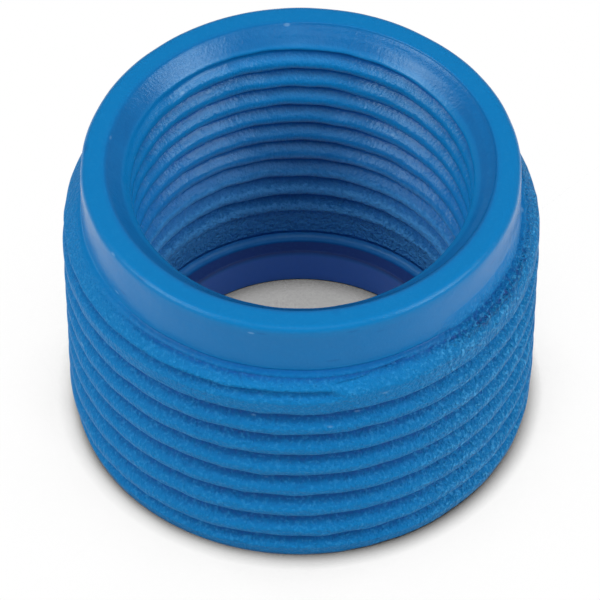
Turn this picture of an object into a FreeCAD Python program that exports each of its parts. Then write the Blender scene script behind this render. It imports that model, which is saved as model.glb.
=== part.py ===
import FreeCAD, Part
import math
import os

# Reducing bushing with taper pipe threads, 1 inch outside and 3/4 inch inside.
# Millimetres, +Z up. The origin is the middle of the bottom face, at the small end of the
# outer thread. The Z axis is the axis of both threads, and the front of the bushing is -Y.
# The outer thread is a true helix. The inner one is its tapered bore at the crests.

# Both threads: taper on the diameter, and the angle between the flanks of a groove
thread_taper = 1 / 16
thread_angle = 60.0

# Outer thread: the diameter is over the crests at the bottom face
outer_pitch = 25.4 / 11.5
outer_small_end_diameter = 32.7
outer_thread_length = 17.6
outer_crest_flat = 0.55

# End of the outer thread: where the last full root lies below the shoulder at the front,
# and how far round and how far out the root climbs as the groove fades
last_root_drop = 2.55
runout_turns = 1.02
runout_climb = 0.7

# Chamfer that starts the outer thread
start_chamfer_width = 0.55
start_chamfer_height = 1.7

# Sloping shoulder and plain collar above the outer thread
shoulder_height = 1.5
collar_height = 4.2
collar_diameter = 31.0
collar_edge_chamfer = 0.45

# Mouth chamfer, and the inner thread's crests where the chamfer ends
mouth_diameter = 27.6
mouth_chamfer_angle = 45.0
inner_crest_diameter = 23.9

# Relief below the inner thread
relief_edge_height = 0.4
relief_height = 1.4
relief_diameter = 24.0

# Ring that stops the inner pipe
ring_height = 3.0
ring_bore_diameter = 20.8

# Worked out from the sizes above
taper_slope = thread_taper / 2
groove_half_angle = math.radians(thread_angle / 2)
groove_width = outer_pitch - outer_crest_flat
groove_depth = groove_width / 2 / math.tan(groove_half_angle)
cutter_width = outer_pitch - outer_crest_flat / 2
cutter_depth = cutter_width / 2 / math.tan(groove_half_angle)
last_root_height = outer_thread_length - last_root_drop
collar_bottom = outer_thread_length + shoulder_height
height = collar_bottom + collar_height
mouth_chamfer_width = (mouth_diameter - inner_crest_diameter) / 2
crest_top = height - mouth_chamfer_width / math.tan(math.radians(mouth_chamfer_angle))
relief_top = ring_height + relief_height
thread_bottom = relief_top + relief_edge_height


def outer_crest_radius(z):
    """Radius of the outer thread's crests at height z."""
    return outer_small_end_diameter / 2 + taper_slope * z


def inner_crest_radius(z):
    """Radius of the inner thread's crests at height z."""
    return inner_crest_diameter / 2 - taper_slope * (crest_top - z)


def outside_points():
    """Half section of the outside from the bottom face up to the rim."""
    return [
        (outer_crest_radius(start_chamfer_height) - start_chamfer_width, 0),
        (outer_crest_radius(start_chamfer_height), start_chamfer_height),
        (outer_crest_radius(outer_thread_length), outer_thread_length),
        (collar_diameter / 2, collar_bottom),
        (collar_diameter / 2, height - collar_edge_chamfer),
        (collar_diameter / 2 - collar_edge_chamfer, height),
    ]


def inside_points():
    """Half section of the inside from the mouth down to the bottom face."""
    return [
        (mouth_diameter / 2, height),
        (inner_crest_radius(crest_top), crest_top),
        (inner_crest_radius(thread_bottom), thread_bottom),
        (relief_diameter / 2, relief_top),
        (relief_diameter / 2, ring_height),
        (ring_bore_diameter / 2, ring_height),
        (ring_bore_diameter / 2, 0),
    ]


def blank():
    """The turned bushing with a plain cone for its outer thread."""
    outline = outside_points() + inside_points()
    corners = [FreeCAD.Vector(radius, 0, z) for radius, z in outline]
    section = Part.Face(Part.makePolygon(corners + corners[:1]))
    return section.revolve(FreeCAD.Vector(0, 0, 0), FreeCAD.Vector(0, 0, 1), 360)


def groove_section(root_radius, z):
    """Triangle with its tip at the groove's root and its base outside the crests."""
    base_radius = root_radius + cutter_depth
    corners = [
        FreeCAD.Vector(root_radius, 0, z),
        FreeCAD.Vector(base_radius, 0, z + cutter_width / 2),
        FreeCAD.Vector(base_radius, 0, z - cutter_width / 2),
    ]
    return Part.makePolygon(corners + corners[:1])


def groove_sweep(start_z, turns, root_radius, slope):
    """Groove that rises from start_z, beginning at +X, with its root on a cone."""
    rise = turns * outer_pitch
    helix = Part.makeHelix(outer_pitch, rise, root_radius, math.degrees(math.atan(slope)))
    helix.translate(FreeCAD.Vector(0, 0, start_z))
    sweep = Part.BRepOffsetAPI.MakePipeShell(Part.Wire(helix.Edges))
    sweep.setBiNormalMode(FreeCAD.Vector(0, 0, 1))
    sweep.add(groove_section(root_radius, start_z))
    sweep.build()
    sweep.makeSolid()
    return sweep.shape()


def turn_to_front(shape):
    """Turn a groove's +X side to the front of the bushing."""
    shape.rotate(FreeCAD.Vector(0, 0, 0), FreeCAD.Vector(0, 0, 1), -90)
    return shape


def full_groove():
    """Groove of full depth, from below the bottom face up to the front at its last root."""
    turns = math.ceil(last_root_height / outer_pitch) + 1
    start_z = last_root_height - turns * outer_pitch
    root_radius = outer_crest_radius(start_z) - groove_depth
    return turn_to_front(groove_sweep(start_z, turns, root_radius, taper_slope))


def runout_groove():
    """Groove that goes on from the front and climbs out of the blank as it fades."""
    root_radius = outer_crest_radius(last_root_height) - groove_depth
    slope = runout_climb / (runout_turns * outer_pitch)
    return turn_to_front(groove_sweep(last_root_height, runout_turns, root_radius, slope))


def threaded_cone():
    """Cone of the outer crests with its thread cut, longer than the bushing at both ends."""
    low = -outer_pitch
    high = height + outer_pitch
    foot = FreeCAD.Vector(0, 0, low)
    cone = Part.makeCone(outer_crest_radius(low), outer_crest_radius(high), high - low, foot)
    return cone.cut(full_groove()).cut(runout_groove())


def reducing_bushing():
    """The part of the threaded cone that lies within the turned blank."""
    return threaded_cone().common(blank()).Solids[0]


os.makedirs("parts", exist_ok=True)
reducing_bushing().exportStep("parts/reducing_bushing.step")
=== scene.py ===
import math

import bmesh
import bpy
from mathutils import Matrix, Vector, noise


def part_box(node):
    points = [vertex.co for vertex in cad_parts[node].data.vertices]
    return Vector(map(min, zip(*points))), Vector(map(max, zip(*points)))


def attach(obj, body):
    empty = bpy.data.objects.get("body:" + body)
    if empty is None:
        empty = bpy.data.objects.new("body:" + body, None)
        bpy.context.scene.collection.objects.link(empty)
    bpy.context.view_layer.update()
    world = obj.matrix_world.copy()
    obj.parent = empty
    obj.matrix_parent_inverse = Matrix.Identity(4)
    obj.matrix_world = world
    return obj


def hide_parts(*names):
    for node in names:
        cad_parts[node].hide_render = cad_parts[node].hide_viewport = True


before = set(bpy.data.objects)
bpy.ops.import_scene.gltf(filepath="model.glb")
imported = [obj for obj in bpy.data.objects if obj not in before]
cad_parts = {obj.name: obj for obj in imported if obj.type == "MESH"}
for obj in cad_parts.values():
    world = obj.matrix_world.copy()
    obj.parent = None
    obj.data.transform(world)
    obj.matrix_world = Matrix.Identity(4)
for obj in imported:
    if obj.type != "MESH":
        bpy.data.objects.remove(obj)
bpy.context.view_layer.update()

# Reducing bushing in metres: +Z up the common axis of both threads, the bottom face at z = 0
# and the front of the photo at -Y. One mesh shows the whole bushing with both threads cut as
# tapered helices. Azimuths are in degrees from the front, positive to the right of the photo.
# A pair of azimuths or heights says where a change begins and where it is complete.

mm = 0.001
high_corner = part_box("reducing_bushing")[1]
height = high_corner[2]
front_angle = -math.pi / 2
back_angle = math.pi / 2
quarter_turn = 0.25

# Both threads: the crests' taper, how narrow the grooves are against a plain wave, the rounding
# of the edges, and what that rounding takes off a crest
inch_in_mm = 25.4
taper_slope = 1 / 32
groove_narrowness = 1.2
cut_rounding = 0.2 * mm
crest_loss = cut_rounding / 4

# Outer thread
outer_threads_per_inch = 11.5
outer_pitch = inch_in_mm / outer_threads_per_inch * mm
outer_crest_at_foot = 16.35 * mm
outer_groove_depth = 0.78 * mm
last_root_at_front = 15.05 * mm

# Last turn of the outer groove: in turns after its last full root at the front, where it
# begins to widen upwards, where it is widest, where it is shallowest, and where it stops
widening_start = 0.4
widening_end = 0.75
shallowing_end = 1.02
stop_start = 1.017
stop_end = 1.032
end_widening = 0.3 * mm
end_depth = 0.56 * mm
end_flank_share = 0.8
end_narrowness = 10.0
end_rise = 0.18 * mm

# Chamfer at the foot, shoulder and collar
chamfer_foot_radius = 15.85 * mm
chamfer_top = 1.7 * mm
shoulder_corner = 17.6 * mm
collar_foot = 19.1 * mm
collar_radius = 15.5 * mm
edge_rounding = 0.48 * mm
shoulder_rounding = 0.3 * mm
foot_rounding = 0.1 * mm

# Narrow bead between two creases at the collar's foot. The bead and the lower crease fade out
# on the left and weaken on the right, and the upper crease goes all the way round.
bead_middle = 18.83 * mm
bead_size = 0.07 * mm
bead_mean = 0.6
bead_wave_length = 3 * mm
lower_crease = 18.58 * mm
upper_crease = 19.0 * mm
crease_depth = 0.12 * mm
crease_width = 0.08 * mm
faint_crease_share = 0.4
bead_fade_in = (-75, -35)
bead_fade_out = (60, 110)
bead_fade_loss = 0.7

# Thin line that goes on from the end of the groove and climbs to the collar's foot
line_low = 18.16 * mm
line_climb = 0.78 * mm
line_depth = 0.2 * mm
line_width = 0.1 * mm
line_climb_azimuths = (4, 41)
line_fade_in = (8, 10)
line_fade_out = (25, 33)

# Run of coating that climbs the collar on the right of the photo
run_fade_in = (36, 50)
run_fade_out = (66, 90)
run_foot = collar_foot - 0.5 * mm
run_top = 20.3 * mm
run_size = 0.34 * mm
run_unevenness = 0.5

# Torn edge below the run, where the thread fades out
torn_middle = 17.9 * mm
torn_width = 1.3 * mm
torn_fade_in = (26, 42)
torn_weakening = (66, 90)
torn_weakening_loss = 0.75
torn_fade_out = (95, 130)
torn_mean = 0.6

# Mouth: a chamfer from the rim down to the inner thread's crests
mouth_radius = 13.75 * mm
mouth_slope = 1.1
rim_inner_rounding = 0.4 * mm
chamfer_blend = 0.4 * mm

# Shallow end of the inner groove, which climbs the mouth chamfer to the rim: where it begins
# and ends is in turns after the first root at the back
mouth_groove_fade_in = (0.52, 0.8)
mouth_groove_fade_out = (0.94, 1.06)
mouth_groove_depth = 0.26 * mm
mouth_groove_width = 0.2 * mm
mouth_groove_top = 23.12 * mm

# Inner thread: its groove fades in above the foot and loses part of its depth at the mouth
inner_threads_per_inch = 14
inner_pitch = inch_in_mm / inner_threads_per_inch * mm
inner_crest_radius_at_top = 11.95 * mm
inner_crest_top = 21.45 * mm
inner_groove_depth = 0.7 * mm
first_root_at_back = 21.66 * mm
inner_thread_foot = 5.8 * mm
inner_fade_in = (inner_thread_foot - 0.8 * mm, inner_thread_foot - 0.4 * mm)
inner_weakening = (21.7 * mm, 22.3 * mm)
inner_weakening_loss = 0.5

# Relief, shelf and ring
relief_radius = 12.0 * mm
relief_lip_slope = 2
shelf_height = 3.0 * mm
shelf_fillet = 0.5 * mm
ring_top_radius = 10.45 * mm
ring_radius = 10.4 * mm
ring_edge_rounding = 0.08 * mm
bottom_edge_rounding = 0.15 * mm

# Unevenness of the casting and its coating, which leaves the bottom face flat
edge_jitter = 0.12 * mm
jitter_length = 1.6 * mm
waviness = 0.04 * mm
wave_length = 2.2 * mm
ripple = 0.16 * mm
ripple_length = 0.7 * mm
calm_foot = 0.5 * mm

# Seeds of the uneven fields
run_seed = 3
torn_seed = 5
bead_seed = 7
outer_wave_seed = 11
inner_wave_seed = 17
inner_jitter_seed = 23
outer_jitter_seed = 29

# Mesh density, and the heights where the rows change from the helix to level rings
columns = 256
rows_per_turn = 15
shoulder_level = 18.08 * mm
plain_collar_level = 19.3 * mm
mouth_level = 22.55 * mm
rim_level = 22.7 * mm
relief_level = shelf_height + 0.8 * mm
weld_distance = 0.002 * mm
sliver_size = 0.0005 * mm

# Rows of faces in each level stretch
shoulder_rows = 22
run_rows = 9
collar_rows = 4
outer_edge_rows = 6
rim_rows = 4
inner_edge_rows = 5
mouth_rows = 6
fillet_rows = 4
shelf_rows = 4
ring_edge_rows = 4
bore_rows = 5
bottom_edge_rows = 3
base_rows = 5

# Painted shade and painted light: how much darker than the crests the coating is painted, where the
# roots of the threads count as 1.
# The scale runs from the lightest painted patches, below 0 by the headroom, to the painted shade of
# the shelf's hollow.
shade_headroom = 0.3
painted_hollow_shade = 1.5
hollow_inset = 1.1 * shelf_fillet
painted_fillet_light = -0.2
painted_collar_shade = 0.35
painted_run_shade = 0.6
painted_crease_shade = 0.3
painted_shoulder_shade = 0.6
shoulder_shade_fade_in = (18.1 * mm, 18.5 * mm)
shoulder_shade_fade_out = (18.9 * mm, plain_collar_level)
# Painted light on the right side
painted_side_light = 0.25
side_light_fade_in = (25, 45)
side_light_fade_out = (70, 90)
painted_mouth_shade = 0.6
mouth_shade_fade_in = (22 * mm, 22.4 * mm)
painted_low_inner_light = 0.54
low_inner_light_fade_out = (7 * mm, 15 * mm)
rim_blend = 0.4 * mm

# How coarse the coating is: 0 where it is smooth, about 1 where it is coarsest
least_coarseness = 0.06
smooth_coarseness = 0.08
bottom_coarseness = 0.3
thread_coarseness = 0.45
right_coarseness = 1.1
right_fade_in = (8, 50)
right_fade_out = (110, 160)
foot_coarseness = 0.5
foot_coarse_fade_out = (1.5 * mm, 5 * mm)
collar_smooth_fade_in = (18.3 * mm, 19.1 * mm)
run_coarseness = 0.7
inner_coarseness_at_top = 0.12
inner_coarseness_gain = 0.7
inner_coarse_fade_out = (5 * mm, 12 * mm)
mouth_smooth_fade_in = (21 * mm, 22 * mm)

# Painted violet cast of the shade low down inside, on the fillet and on the ring's bore
low_inner_violet = 0.3
low_inner_violet_fade_out = (6 * mm, 20 * mm)
fillet_violet = 0.3
bore_violet = 1

# How strongly the smooth parts, the outer thread and the inside reflect
smooth_gloss = 0.22
thread_gloss = 0.13
collar_gloss_fade_in = (18.8 * mm, 19.4 * mm)
side_gloss = 0.08
side_gloss_fade_in = (25, 40)
side_gloss_fade_out = (50, 70)
inner_gloss = 0.38

# Roughness of the coating where it is smooth and where it is coarse, and the tint of its gleam
smooth_roughness = 0.22
coarse_roughness = 0.5
fully_coarse = 0.5
gleam_tint = (0.6, 0.85, 1.0)

# Colours of the coating, each at its place on the scale of painted light and shade from lightest to
# darkest: painted light, crests, flanks, painted shade of grooves, roots and the shelf's hollow
painted_light_blue = (0.06, 0.35, 0.7)
crest_blue = (0.003, 0.17, 0.435)
flank_blue = (0.003, 0.155, 0.42)
painted_groove_shade_blue = (0.002, 0.11, 0.33)
painted_root_shade_blue = (0.004, 0.09, 0.32)
# Painted shade of the shelf's hollow
painted_hollow_shade_blue = (0.03, 0.07, 0.25)
shade_colours = [
    (0.0, painted_light_blue),
    (0.17, crest_blue),
    (0.44, flank_blue),
    (0.61, painted_groove_shade_blue),
    (0.72, painted_root_shade_blue),
    (1.0, painted_hollow_shade_blue),
]

# Other colours: specks of the coarse grain, the violet blue painted for the shade in the bore,
# scuffs and nicks
speck_blue = (0.05, 0.34, 0.68)
painted_shade_violet_blue = (0.05, 0.17, 0.6)
scuff_blue = (0.003, 0.11, 0.33)
nick_blue = (0.3, 0.52, 0.74)
black = (0, 0, 0)
white = (1, 1, 1)

# Random patterns of the coating: waves in a metre, octaves of finer detail, and how far they
# are drawn out along Z
pebble_pattern = (3200, 2, 1.0)
streak_pattern = (5200, 2, 1.6)
dab_pattern = (3800, 1, 1.0)
swell_pattern = (700, 2, 1.0)
mottle_pattern = (450, 4, 1.5)
detail_roughness = 0.55

# How much the patterns count in the painted shade, where the pits of the grain get painted shade, in
# the specks and in the painted violet cast
noise_middle = 0.5
mottle_share = 0.2
pit_share = 1.6
speck_start = 0.54
speck_full = 0.66
speck_share = 0.4
violet_share = 0.9

# Scattered marks: cells in a metre, how flat the marks are, their size in cells, and how
# strongly they cover the paint
scuff_pattern = (220, 5, 0.14, 0.5)
nick_pattern = (270, 2.5, 0.08, 0.25)
unmarked_share = 0.45

# Height of the coating's fine relief, and what each pattern adds to it
bump_height = 0.32 * mm
lump_share = 0.8
streak_share = 0.8
swell_share = 0.1

# Floor: pale paper, which looks white apart from the wide and the close shadow of the bushing, both
# painted into its white glow from how open the floor is around it
floor_size = 4
paper_brightness = 0.65
wide_shadow_reach = 60 * mm
wide_shadow_power = 1.15
wide_shadow_gain = 2.2
close_shadow_reach = 1.4 * mm
close_shadow_gain = 1.6
close_shadow_loss = 0.44
shadow_samples = 5

# Lamps: two panels on each side, placed here for the right, and one in front. Powers are in
# watts, for the side panels first on the left and then on the right.
lamp_target = (0, 0, 12 * mm)
high_side_place = (0.363, -0.077, 0.347)
high_side_size = (0.2, 0.42)
high_side_powers = (1.2, 1.02)
front_side_place = (0.37, -0.21, 0.27)
front_side_size = (0.2, 0.2)
front_side_powers = (0.62, 0.8)
front_place = (0, -0.25, 0.45)
front_size = (0.25, 0.25)
front_power = 0.28
sky_strength = 0.265

# Camera, from the photo: how it looks down, how large a millimetre is, and where the axis falls
camera_elevation = math.radians(47.79)
pixels_per_mm = 14.128
image_size = 600
axis_column = 300.98
axis_row_of_origin = 388.19
camera_distance = 1.4
camera_reach = 10
sensor_width = 36


def smooth_min(a, b, width):
    """The smaller of two lengths, with the corner between them rounded over a width."""
    blend = max(width - abs(a - b), 0) / width
    return min(a, b) - blend * blend * width / 4


def smooth_max(a, b, width):
    """The larger of two lengths, with the corner between them rounded over a width."""
    return -smooth_min(-a, -b, width)


def ramp(x, start, end):
    """0 before start, 1 after end, and a smooth rise between them."""
    t = min(max((x - start) / (end - start), 0), 1)
    return t * t * (3 - 2 * t)


def bell(distance, width):
    """1 at no distance, falling smoothly to near nothing at twice the width."""
    return math.exp(-(distance / width) ** 2)


def azimuth(angle):
    """Degrees from the front, between -180 and 180, for an angle in radians from +X."""
    return (math.degrees(angle - front_angle) + 180) % 360 - 180


def grain(radius, z, angle, length, seed):
    """Smooth random value between about -1 and 1 at a point of a surface."""
    place = Vector((radius * math.cos(angle), radius * math.sin(angle), z)) / length
    return noise.noise(place + Vector((seed, seed, seed)))


def groove_shape(offset, pitch, narrowness):
    """Rounded section of a groove: 1 at its root, 0 at the middle of the next crest."""
    share = min(abs(offset) / pitch, 0.5)
    return ((1 + math.cos(math.tau * share)) / 2) ** narrowness


def nearest_turn(root_height, z, pitch):
    """How many pitches the root nearest to height z lies below a root."""
    return math.floor((root_height - z) / pitch + 0.5)


def outer_crest(z):
    """Radius of the outer thread's crests at height z."""
    return outer_crest_at_foot + taper_slope * z


def shoulder_radius(z):
    """Sloping shoulder between the thread and the collar."""
    top = outer_crest(shoulder_corner)
    fall = (top - collar_radius) / (collar_foot - shoulder_corner)
    return top - fall * (z - shoulder_corner)


def bead_fade(angle):
    """How much of the bead and its creases shows at an angle."""
    turned = azimuth(angle)
    return ramp(turned, *bead_fade_in) * (1 - bead_fade_loss * ramp(turned, *bead_fade_out))


def thin_line(z, angle):
    """Depth of the thin line that climbs from the end of the groove."""
    turned = azimuth(angle)
    line_height = line_low + line_climb * ramp(turned, *line_climb_azimuths)
    strength = ramp(turned, *line_fade_in) * (1 - ramp(turned, *line_fade_out))
    return line_depth * strength * bell(z - line_height, line_width)


def collar_foot_relief(z, angle):
    """Bead and creases at the collar's foot, and the thin line below them."""
    fade = bead_fade(angle)
    unevenness = bead_mean + grain(collar_radius, z, angle, bead_wave_length, bead_seed)
    bead = bead_size * bell(z - bead_middle, crease_width) * unevenness * fade
    low_side = crease_depth * bell(z - lower_crease, crease_width) * fade
    share = faint_crease_share + (1 - faint_crease_share) * fade
    high_side = crease_depth * bell(z - upper_crease, crease_width) * share
    return bead - low_side - high_side - thin_line(z, angle)


def coating_run(z, angle):
    """How far the run of coating stands out from the collar."""
    turned = azimuth(angle)
    share = ramp(turned, *run_fade_in) * (1 - ramp(turned, *run_fade_out))
    share *= ramp(z, shoulder_corner, run_foot)
    if share == 0 or z > run_top:
        return 0
    rise = (run_top - z) / (run_top - collar_foot)
    unevenness = 1 + run_unevenness * grain(collar_radius, z, angle, ripple_length, run_seed)
    return run_size * share * min(rise, 1.0) * unevenness


def run_share(z, angle):
    """Thickness of the run of coating against its full size."""
    return coating_run(z, angle) / run_size


def outer_blank_radius(z, angle):
    """Outside of the bushing with no thread, from the foot to the collar."""
    chamfer_end = outer_crest(chamfer_top)
    chamfer = chamfer_foot_radius + (chamfer_end - chamfer_foot_radius) * z / chamfer_top
    outside = smooth_min(outer_crest(z), chamfer, shoulder_rounding)
    if z < shoulder_corner - outer_pitch:
        return outside
    outside = smooth_min(outside, shoulder_radius(z), shoulder_rounding)
    outside = smooth_max(outside, collar_radius, foot_rounding)
    return outside + collar_foot_relief(z, angle) + coating_run(z, angle)


def outer_cut(z, root_height, turns):
    """How deep a turn of the outer groove goes at height z, where its root is at root_height."""
    widening = ramp(turns, widening_start, widening_end)
    shallowing = ramp(turns, widening_end, shallowing_end)
    depth = outer_groove_depth + (end_depth - outer_groove_depth) * shallowing
    depth *= 1 - ramp(turns, stop_start, stop_end)
    offset = z - root_height - end_rise * shallowing
    if offset > 0:
        offset = max(offset - end_widening * widening, 0)
    else:
        offset *= 1 + (end_flank_share - 1) * shallowing
    narrowness = groove_narrowness + (end_narrowness - groove_narrowness) * shallowing
    return depth * groove_shape(offset, outer_pitch, narrowness)


def torn_share(z, angle):
    """How torn the surface is: most where the thread fades out on the right of the photo."""
    turned = azimuth(angle)
    side = ramp(turned, *torn_fade_in) * (1 - ramp(turned, *torn_fade_out))
    side *= 1 - torn_weakening_loss * ramp(turned, *torn_weakening)
    return side * bell(z - torn_middle, torn_width)


def outer_unevenness(z, angle, radius):
    """Waves and torn places of the outside."""
    wave = waviness * grain(radius, z, angle, wave_length, outer_wave_seed)
    torn = ripple * (grain(radius, z, angle, ripple_length, torn_seed) - torn_mean)
    return (wave + torn_share(z, angle) * torn) * ramp(z, 0, calm_foot)


def outer_radius(z, angle):
    """Outside of the bushing at a height and an angle round the axis."""
    turn = (angle - front_angle) / math.tau % 1
    nearest = nearest_turn(last_root_at_front + outer_pitch * turn, z, outer_pitch)
    thread = outer_crest(z) + crest_loss
    jitter = edge_jitter * grain(thread, z, angle, jitter_length, outer_jitter_seed)
    for step in (nearest - 1, nearest, nearest + 1):
        turns = turn - step
        if turns <= stop_end:
            root_height = last_root_at_front + outer_pitch * turns
            thread -= outer_cut(z - jitter, root_height, turns)
    radius = smooth_min(outer_blank_radius(z, angle), thread, cut_rounding)
    return radius + outer_unevenness(z, angle, radius)


def inner_crest(z):
    """Radius of the inner thread's crests at height z."""
    return inner_crest_radius_at_top - taper_slope * (inner_crest_top - z)


def mouth_groove(z, angle):
    """Depth of the shallow groove that climbs the mouth chamfer."""
    turn = (angle - back_angle) / math.tau % 1
    depth = 0
    for turns in (turn, turn + 1):
        strength = ramp(turns, *mouth_groove_fade_in) * (1 - ramp(turns, *mouth_groove_fade_out))
        root_height = min(first_root_at_back + inner_pitch * turns, mouth_groove_top)
        depth += mouth_groove_depth * strength * bell(z - root_height, mouth_groove_width)
    return depth


def inner_blank_radius(z):
    """Inside of the bushing with no thread, from the shelf to the mouth."""
    chamfer = mouth_radius - (height - z) * mouth_slope
    bore = smooth_max(inner_crest(z), chamfer, chamfer_blend)
    relief = min(relief_radius, relief_radius + (inner_thread_foot - z) * relief_lip_slope)
    return smooth_max(bore, relief, cut_rounding)


def inner_cut(offset, root_height):
    """How deep a turn of the inner groove goes at an offset in height from its root."""
    strength = ramp(root_height, *inner_fade_in)
    strength *= 1 - inner_weakening_loss * ramp(root_height, *inner_weakening)
    return inner_groove_depth * strength * groove_shape(offset, inner_pitch, groove_narrowness)


def inner_radius(z, angle):
    """Inside of the bushing at a height and an angle round the axis."""
    turn = (angle - back_angle) / math.tau % 1
    root_here = first_root_at_back + inner_pitch * turn
    nearest = nearest_turn(root_here, z, inner_pitch)
    thread = inner_crest(z) - crest_loss
    jitter = edge_jitter * grain(thread, z, angle, jitter_length, inner_jitter_seed)
    for step in (nearest - 1, nearest, nearest + 1):
        root_height = root_here - step * inner_pitch
        thread += inner_cut(z - root_height - jitter, root_height)
    radius = smooth_max(inner_blank_radius(z), thread, cut_rounding)
    wave = waviness * grain(radius, z, angle, wave_length, inner_wave_seed)
    return radius + mouth_groove(z, angle) + wave


def column_angle(column):
    """Angle of a column of the mesh round the axis, from +X."""
    return math.tau * column / columns


def helical_heights(low, high, pitch, root_at_zero_angle, column):
    """Heights of the helical rows in a column, held between the low and the high end.

    The spare turns at both ends let every column reach them.
    """
    first_turn = math.floor((low - root_at_zero_angle) / pitch) - 2
    last_turn = math.ceil((high - root_at_zero_angle) / pitch) + 1
    levels = []
    for turn in range(first_turn, last_turn + 1):
        for row in range(rows_per_turn):
            turns = turn + column / columns + row / rows_per_turn
            levels.append(min(max(root_at_zero_angle + pitch * turns, low), high))
    return levels


def helical_patch(radius_at, low, high, pitch, root_at_zero_angle):
    """Grid whose rows follow the thread, cut off flat at its low and high ends."""
    points = []
    for column in range(columns + 1):
        levels = helical_heights(low, high, pitch, root_at_zero_angle, column)
        points.append([(radius_at(z, column_angle(column)), z) for z in levels])
    return points


def level_patch(outline_at):
    """Grid of level rings through the half section that each angle has."""
    return [outline_at(column_angle(column)) for column in range(columns + 1)]


def add_patch(mesh, points):
    """Add a grid of faces to the mesh. Its first and last columns meet at angle zero."""
    grid = []
    for column, line in enumerate(points):
        across = math.cos(column_angle(column))
        back = math.sin(column_angle(column))
        grid.append([mesh.verts.new((radius * across, radius * back, z)) for radius, z in line])
    for near, far in zip(grid, grid[1:]):
        for row in range(len(near) - 1):
            mesh.faces.new((near[row], far[row], far[row + 1], near[row + 1]))


def arc(centre_radius, centre_height, size, start, end, steps):
    """Points of an arc in the half section, from a start to an end angle in degrees."""
    angles = [math.radians(start + (end - start) * step / steps) for step in range(steps + 1)]
    return [(centre_radius + size * math.cos(a), centre_height + size * math.sin(a)) for a in angles]


def evenly(start, end, steps):
    """Points on a straight line of the half section, without its ends."""
    shares = [step / steps for step in range(1, steps)]
    return [(start[0] + (end[0] - start[0]) * s, start[1] + (end[1] - start[1]) * s) for s in shares]


def heights(low, high, steps):
    """Even steps from a low height up to the last one below a high one."""
    return [low + (high - low) * step / steps for step in range(steps)]


def collar_wall(angle):
    """Half section of the shoulder's top and the collar, up to its rounded edge."""
    levels = heights(shoulder_level, plain_collar_level, shoulder_rows)
    levels += heights(plain_collar_level, run_top, run_rows)
    levels += heights(run_top, height - edge_rounding, collar_rows)
    return [(outer_radius(z, angle), z) for z in levels]


def outer_edge(angle):
    """Half section of the rim's rounded outer edge."""
    foot = height - edge_rounding
    centre = outer_radius(foot, angle) - edge_rounding
    return arc(centre, foot, edge_rounding, 0, 90, outer_edge_rows)


def inner_edge():
    """Half section of the rim's rounded inner edge, with no groove in it."""
    lean = math.degrees(math.atan(mouth_slope))
    drop = rim_inner_rounding * math.tan(math.radians((90 - lean) / 2))
    centre = (mouth_radius + drop, height - rim_inner_rounding)
    return arc(*centre, rim_inner_rounding, 90, 180 - lean, inner_edge_rows)


def mouth_outline(angle):
    """Half section of the rim's inner edge and the mouth's top, down to the helical rows."""
    edge = inner_edge()
    levels = reversed(heights(mouth_level, edge[-1][1], mouth_rows))
    plain = edge + [(inner_blank_radius(z), z) for z in levels]
    outline = [(radius + mouth_groove(z, angle), z) for radius, z in plain]
    outline[-1] = (inner_radius(mouth_level, angle), mouth_level)
    return outline


def collar_outline(angle):
    """Half section of the shoulder's top, the collar, the rim and the mouth's top."""
    edge = outer_edge(angle)
    rim = evenly(edge[-1], inner_edge()[0], rim_rows)
    return collar_wall(angle) + edge + rim + mouth_outline(angle)


def foot_outline(angle):
    """Half section below the inner thread: relief, shelf, ring, bottom face."""
    start = (inner_radius(relief_level, angle), relief_level)
    end = (outer_radius(0, angle), 0)
    fillet_centre = (relief_radius - shelf_fillet, shelf_height + shelf_fillet)
    fillet = arc(*fillet_centre, shelf_fillet, 0, -90, fillet_rows)
    top_centre = (ring_top_radius + ring_edge_rounding, shelf_height - ring_edge_rounding)
    ring_top = arc(*top_centre, ring_edge_rounding, 90, 180, ring_edge_rows)
    foot_centre = (ring_radius + bottom_edge_rounding, bottom_edge_rounding)
    ring_foot = arc(*foot_centre, bottom_edge_rounding, 180, 270, bottom_edge_rows)
    shelf = evenly(fillet[-1], ring_top[0], shelf_rows)
    bore = evenly(ring_top[-1], ring_foot[0], bore_rows)
    base = evenly(ring_foot[-1], end, base_rows)
    return [start] + fillet + shelf + ring_top + bore + ring_foot + base + [end]


def outer_coarseness(z, angle):
    """How coarse the coating is outside."""
    turned = azimuth(angle)
    right = right_coarseness * ramp(turned, *right_fade_in) * (1 - ramp(turned, *right_fade_out))
    low = foot_coarseness * (1 - ramp(z, *foot_coarse_fade_out))
    threads = max(thread_coarseness, right, low) * (1 - ramp(z, *collar_smooth_fade_in))
    return threads + least_coarseness + run_share(z, angle) * run_coarseness


def inner_coarseness(z):
    """How coarse the coating is inside: most at the foot, least at the smooth mouth."""
    gain = inner_coarseness_gain * (1 - ramp(z, *inner_coarse_fade_out))
    threads = (inner_coarseness_at_top + gain) * (1 - ramp(z, *mouth_smooth_fade_in))
    return threads + least_coarseness


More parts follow.
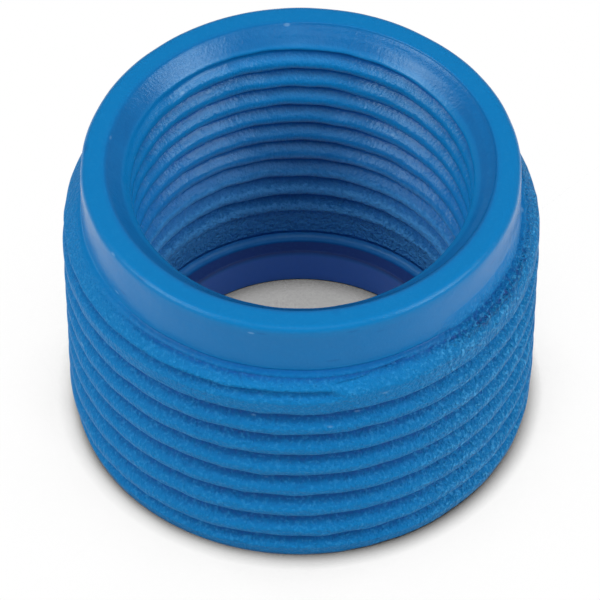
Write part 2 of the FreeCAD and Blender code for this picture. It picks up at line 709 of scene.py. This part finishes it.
def painted_outer_shade(z, angle, radius):
    """Painted shade outside: most at the roots and in the creases, on the shoulder band, the run and
    the collar, less on the right by painted light.
    """
    # Painted shade on the run of coating, darker the thicker it is.
    run = painted_run_shade * run_share(z, angle)
    # Painted shade: the collar is painted darker than the rim.
    if z > plain_collar_level:
        return max(run, painted_collar_shade)
    turned = azimuth(angle)
    # Painted shade: the coating is painted darker the deeper the groove, darkest at the roots.
    deep = (outer_blank_radius(z, angle) - radius) / outer_groove_depth
    # Painted light: the right side is painted lighter.
    deep -= painted_side_light * ramp(turned, *side_light_fade_in) * (1 - ramp(turned, *side_light_fade_out))
    # Painted shade in the creases at the collar's foot and on the shoulder band in front.
    band = ramp(z, *shoulder_shade_fade_in) * (1 - ramp(z, *shoulder_shade_fade_out))
    lines = bell(z - lower_crease, crease_width) + bell(z - upper_crease, crease_width)
    foot = bead_fade(angle) * (painted_shoulder_shade * band + painted_crease_shade * lines)
    return max(deep, foot, run)


def rim_masks(radius):
    """Masks of the rim, with painted shade towards the mouth, where it also grows glossier."""
    inward = ramp(mouth_radius + rim_blend - radius, 0, rim_blend)
    gloss = smooth_gloss + (inner_gloss - smooth_gloss) * inward
    return painted_mouth_shade * inward, smooth_coarseness, 0, gloss


def outside_masks(z, angle, radius):
    """Masks of the outer thread, the shoulder and the collar."""
    turned = azimuth(angle)
    smooth = ramp(z, *collar_gloss_fade_in) * (1 - run_share(z, angle))
    side = side_gloss * ramp(turned, *side_gloss_fade_in) * (1 - ramp(turned, *side_gloss_fade_out))
    gloss = thread_gloss + side + (smooth_gloss - thread_gloss) * smooth
    return painted_outer_shade(z, angle, radius), outer_coarseness(z, angle), 0, gloss


def inside_masks(z, radius):
    """Masks of the mouth, the inner thread and the relief, with painted shade in the grooves and on
    the mouth and painted light low down.
    """
    # Painted shade: the inner grooves are painted darker the deeper they are.
    shade = (radius - inner_blank_radius(z)) / inner_groove_depth
    # Painted shade on the mouth chamfer.
    shade = max(shade, painted_mouth_shade * ramp(z, *mouth_shade_fade_in))
    # Painted light on the lower inner thread and the relief wall.
    shade = min(shade, 1) - painted_low_inner_light * (1 - ramp(z, *low_inner_light_fade_out))
    # Painted violet cast of the shade, strongest low down.
    violet = low_inner_violet * (1 - ramp(z, *low_inner_violet_fade_out))
    return shade, inner_coarseness(z), violet, inner_gloss


def masks_at(z, angle, radius):
    """Painted shade, coarseness, painted violet cast and gloss of the coating at a point of the
    surface.
    """
    if z < bottom_edge_rounding:
        return 0, bottom_coarseness, 0, smooth_gloss
    if z > rim_level:
        return rim_masks(radius)
    if radius > (inner_crest(z) + outer_crest(z)) / 2:
        return outside_masks(z, angle, radius)
    if z > shelf_height + shelf_fillet:
        return inside_masks(z, radius)
    # Painted shade: the shelf inside the fillet is painted darkest.
    if z > shelf_height - ring_edge_rounding and radius < relief_radius - hollow_inset:
        return painted_hollow_shade, smooth_coarseness, 0, smooth_gloss
    # Painted highlight: the fillet at the foot of the relief is painted lighter than the crests,
    # with some painted violet cast.
    if z > shelf_height:
        return painted_fillet_light, smooth_coarseness, fillet_violet, smooth_gloss
    return 0, smooth_coarseness, bore_violet, smooth_gloss


def store_masks(data):
    """Store on each vertex its painted shade, coarseness, painted violet cast and gloss."""
    names = ("shade", "coarse", "violet", "gloss")
    stores = [data.attributes.new(name, "FLOAT", "POINT") for name in names]
    for index, vertex in enumerate(data.vertices):
        x, y, z = vertex.co
        masks = masks_at(z, math.atan2(y, x), math.hypot(x, y))
        for store, value in zip(stores, masks):
            store.data[index].value = value


def bushing_mesh():
    """Closed mesh of the whole bushing: two helical patches and two level ones."""
    mesh = bmesh.new()
    outer_root = last_root_at_front + outer_pitch * quarter_turn
    add_patch(mesh, helical_patch(outer_radius, 0, shoulder_level, outer_pitch, outer_root))
    add_patch(mesh, level_patch(collar_outline))
    inner_root = first_root_at_back - inner_pitch * quarter_turn
    inside = helical_patch(inner_radius, relief_level, mouth_level, inner_pitch, inner_root)
    add_patch(mesh, [list(reversed(line)) for line in inside])
    add_patch(mesh, level_patch(foot_outline))
    bmesh.ops.remove_doubles(mesh, verts=mesh.verts, dist=weld_distance)
    bmesh.ops.dissolve_degenerate(mesh, edges=mesh.edges, dist=sliver_size)
    for face in mesh.faces:
        face.smooth = True
    data = bpy.data.meshes.new("bushing")
    mesh.to_mesh(data)
    mesh.free()
    return data


def bushing_object():
    """The bushing as one object with its masks."""
    data = bushing_mesh()
    store_masks(data)
    piece = bpy.data.objects.new("bushing", data)
    bpy.context.collection.objects.link(piece)
    return piece


def add_node(tree, kind, settings, links):
    """Add a shader node, set its inputs and link other nodes' outputs into it."""
    node = tree.nodes.new(kind)
    for name, value in settings.items():
        if name in node.inputs:
            node.inputs[name].default_value = value
        else:
            setattr(node, name, value)
    for name, source in links.items():
        tree.links.new(source, node.inputs[name])
    return node


def math_node(tree, operation, first, second):
    """Result of an operation on two operands, each another node's output or a number."""
    node = tree.nodes.new("ShaderNodeMath")
    node.operation = operation
    for socket, operand in zip(node.inputs, (first, second)):
        if isinstance(operand, (int, float)):
            socket.default_value = operand
        else:
            tree.links.new(operand, socket)
    return node.outputs["Value"]


def times(tree, first, second):
    """Product of two operands, each another node's output or a number."""
    return math_node(tree, "MULTIPLY", first, second)


def plus(tree, first, second):
    """Sum of two operands, each another node's output or a number."""
    return math_node(tree, "ADD", first, second)


def mask(tree, name):
    """One of the masks that the mesh holds."""
    return add_node(tree, "ShaderNodeAttribute", {"attribute_name": name}, {}).outputs["Fac"]


def noise_field(tree, place, waves, detail, stretch):
    """Noise over the object's own coordinates, drawn out along Z by a factor."""
    scale = (waves, waves, waves / stretch)
    mapping = add_node(tree, "ShaderNodeMapping", {"Scale": scale}, {"Vector": place})
    settings = {"Scale": 1.0, "Detail": detail, "Roughness": detail_roughness}
    links = {"Vector": mapping.outputs["Vector"]}
    return add_node(tree, "ShaderNodeTexNoise", settings, links).outputs["Fac"]


def colour_ramp(tree, source, stops):
    """Colour ramp through pairs of a position and a colour."""
    node = add_node(tree, "ShaderNodeValToRGB", {}, {"Fac": source})
    elements = node.color_ramp.elements
    while len(elements) < len(stops):
        elements.new(0.5)
    for element, (position, colour) in zip(elements, stops):
        element.position = position
        element.color = (*colour, 1)
    return node.outputs["Color"]


def mix_colour(tree, share, paint, colour):
    """The paint with a share of it covered by a plain colour."""
    node = tree.nodes.new("ShaderNodeMix")
    node.data_type = "RGBA"
    under, over = [socket for socket in node.inputs if socket.type == "RGBA"]
    tree.links.new(share, node.inputs["Factor"])
    tree.links.new(paint, under)
    over.default_value = (*colour, 1)
    return [socket for socket in node.outputs if socket.type == "RGBA"][0]


def marks(tree, place, cells_per_metre, flatness, size, strength):
    """Scattered marks: a spot in the middle of some cells of a random pattern."""
    mapping = add_node(tree, "ShaderNodeMapping", {"Scale": (1, 1, flatness)}, {"Vector": place})
    links = {"Vector": mapping.outputs["Vector"]}
    cells = add_node(tree, "ShaderNodeTexVoronoi", {"Scale": cells_per_metre}, links).outputs
    chosen = math_node(tree, "GREATER_THAN", cells["Color"], unmarked_share)
    spot = colour_ramp(tree, cells["Distance"], [(size / 2, white), (size, black)])
    return times(tree, times(tree, spot, chosen), strength)


def shade_level(tree, place, coarse, pebbles):
    """Place on the scale of painted shade, from the mask, a soft mottle and painted shade in the
    pits of the grain.
    """
    mottle = noise_field(tree, place, *mottle_pattern)
    # Painted shade in the pits of the grain.
    pits = times(tree, math_node(tree, "SUBTRACT", noise_middle, pebbles), coarse)
    level = plus(tree, mask(tree, "shade"), times(tree, mottle, mottle_share))
    level = plus(tree, level, times(tree, pits, pit_share))
    level = plus(tree, level, shade_headroom)
    return math_node(tree, "DIVIDE", level, painted_hollow_shade + shade_headroom)


def coating_colour(tree, place, coarse, pebbles):
    """Blue with painted shade and light, light specks in the grain, a painted violet cast low down
    inside, scuffs and nicks.
    """
    paint = colour_ramp(tree, shade_level(tree, place, coarse, pebbles), shade_colours)
    dabs = noise_field(tree, place, *dab_pattern)
    specks = colour_ramp(tree, dabs, [(speck_start, black), (speck_full, white)])
    speck_cover = times(tree, specks, times(tree, coarse, speck_share))
    paint = mix_colour(tree, speck_cover, paint, speck_blue)
    paint = mix_colour(tree, times(tree, mask(tree, "violet"), violet_share), paint, painted_shade_violet_blue)
    paint = mix_colour(tree, marks(tree, place, *scuff_pattern), paint, scuff_blue)
    return mix_colour(tree, marks(tree, place, *nick_pattern), paint, nick_blue)


def coating_relief(tree, place, coarse, pebbles):
    """Fine relief of the coating: lumps and streaks where it is coarse, and a soft swell."""
    streaks = noise_field(tree, place, *streak_pattern)
    swell = noise_field(tree, place, *swell_pattern)
    lumps = plus(tree, times(tree, pebbles, lump_share), times(tree, streaks, streak_share))
    relief = plus(tree, times(tree, lumps, coarse), times(tree, swell, swell_share))
    settings = {"Strength": 1.0, "Distance": bump_height}
    return add_node(tree, "ShaderNodeBump", settings, {"Height": relief}).outputs["Normal"]


def coating_roughness(tree, coarse):
    """Roughness of the coating, from its smooth to its coarse parts."""
    settings = {"From Max": fully_coarse, "To Min": smooth_roughness, "To Max": coarse_roughness}
    return add_node(tree, "ShaderNodeMapRange", settings, {"Value": coarse}).outputs["Result"]


def coating_material():
    """Satin blue coating with painted shade in the grooves, coarse and speckled where the mask says
    so.
    """
    material = bpy.data.materials.new("blue_coating")
    material.use_nodes = True
    tree = material.node_tree
    shader = tree.nodes["Principled BSDF"].inputs
    place = tree.nodes.new("ShaderNodeTexCoord").outputs["Object"]
    coarse = mask(tree, "coarse")
    pebbles = noise_field(tree, place, *pebble_pattern)
    shader["Specular Tint"].default_value = (*gleam_tint, 1)
    tree.links.new(mask(tree, "gloss"), shader["Specular IOR Level"])
    tree.links.new(coating_roughness(tree, coarse), shader["Roughness"])
    tree.links.new(coating_colour(tree, place, coarse, pebbles), shader["Base Color"])
    tree.links.new(coating_relief(tree, place, coarse, pebbles), shader["Normal"])
    return material


def openness(tree, reach):
    """How open the floor is within a distance, from 0 under the bushing to 1."""
    settings = {"samples": shadow_samples, "Distance": reach}
    return add_node(tree, "ShaderNodeAmbientOcclusion", settings, {}).outputs["AO"]


def floor_glow_with_painted_shadow(tree):
    """Even white, with a painted shadow where the bushing shuts out the light."""
    wide = math_node(tree, "POWER", openness(tree, wide_shadow_reach), wide_shadow_power)
    wide = math_node(tree, "MINIMUM", times(tree, wide, wide_shadow_gain), 1.0)
    close = times(tree, openness(tree, close_shadow_reach), close_shadow_gain)
    close = math_node(tree, "SUBTRACT", close, close_shadow_loss)
    close = math_node(tree, "MINIMUM", close, 1.0)
    links = {"Strength": times(tree, wide, close)}
    return add_node(tree, "ShaderNodeEmission", {"Color": (*white, 1)}, links).outputs["Emission"]


def seen_ray(tree):
    """1 where the floor is seen, straight on or by way of a glossy or clear surface."""
    path = tree.nodes.new("ShaderNodeLightPath").outputs
    seen = math_node(tree, "MAXIMUM", path["Is Camera Ray"], path["Is Glossy Ray"])
    return math_node(tree, "MAXIMUM", seen, path["Is Transmission Ray"])


def floor_material():
    """White where it is seen, and pale paper to the light that it gives back."""
    material = bpy.data.materials.new("floor_white")
    material.use_nodes = True
    tree = material.node_tree
    tree.nodes.clear()
    grey = (paper_brightness, paper_brightness, paper_brightness, 1)
    paper = add_node(tree, "ShaderNodeBsdfDiffuse", {"Color": grey}, {})
    mix = add_node(tree, "ShaderNodeMixShader", {}, {"Fac": seen_ray(tree)})
    unseen, seen = mix.inputs[1:]
    tree.links.new(paper.outputs["BSDF"], unseen)
    tree.links.new(floor_glow_with_painted_shadow(tree), seen)
    add_node(tree, "ShaderNodeOutputMaterial", {}, {"Surface": mix.outputs["Shader"]})
    return material


def floor_object():
    """Wide flat floor under the bushing."""
    bpy.ops.mesh.primitive_plane_add(size=floor_size)
    floor = bpy.context.object
    floor.name = "floor"
    floor.data.materials.append(floor_material())
    return floor


def area_lamp(name, place, size, power):
    """Flat panel of light that faces the bushing."""
    lamp = bpy.data.lights.new(name, "AREA")
    lamp.shape = "RECTANGLE"
    lamp.size, lamp.size_y = size
    lamp.energy = power
    holder = bpy.data.objects.new(name, lamp)
    holder.location = place
    facing = Vector(lamp_target) - Vector(place)
    holder.rotation_euler = facing.to_track_quat("-Z", "Y").to_euler()
    bpy.context.collection.objects.link(holder)


def on_side(side, place):
    """A place on the right as it is, or mirrored to the left where side is -1."""
    x, y, z = place
    return (side * x, y, z)


def lamps():
    """Two panels on the left, two on the right and one in front."""
    for side, high_power, low_power in zip((-1, 1), high_side_powers, front_side_powers):
        area_lamp("high side panel", on_side(side, high_side_place), high_side_size, high_power)
        area_lamp("front side panel", on_side(side, front_side_place), front_side_size, low_power)
    area_lamp("front panel", front_place, front_size, front_power)


def sky():
    """Even white light from all around."""
    world = bpy.data.worlds.new("studio")
    world.use_nodes = True
    background = world.node_tree.nodes["Background"].inputs
    background["Color"].default_value = (*white, 1)
    background["Strength"].default_value = sky_strength
    bpy.context.scene.world = world


def camera():
    """Long lens camera at the photo's angle, aimed so that the bushing falls where it does there."""
    aim_x = (image_size / 2 - axis_column) / pixels_per_mm * mm
    rise = (axis_row_of_origin - image_size / 2) / (pixels_per_mm * math.cos(camera_elevation))
    aim = Vector((aim_x, 0, rise * mm))
    back = Vector((0, -math.cos(camera_elevation), math.sin(camera_elevation)))
    data = bpy.data.cameras.new("camera")
    data.sensor_width = sensor_width
    data.lens = sensor_width * camera_distance / (image_size / pixels_per_mm * mm)
    data.clip_end = camera_reach
    holder = bpy.data.objects.new("camera", data)
    holder.location = aim + back * camera_distance
    holder.rotation_euler = (math.pi / 2 - camera_elevation, 0, 0)
    bpy.context.collection.objects.link(holder)
    bpy.context.scene.camera = holder


bushing = bushing_object()
bushing.data.materials.append(coating_material())
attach(bushing, "root")
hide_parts("reducing_bushing")

floor_object()
lamps()
sky()
camera()
bpy.context.scene.view_settings.view_transform = "Standard"
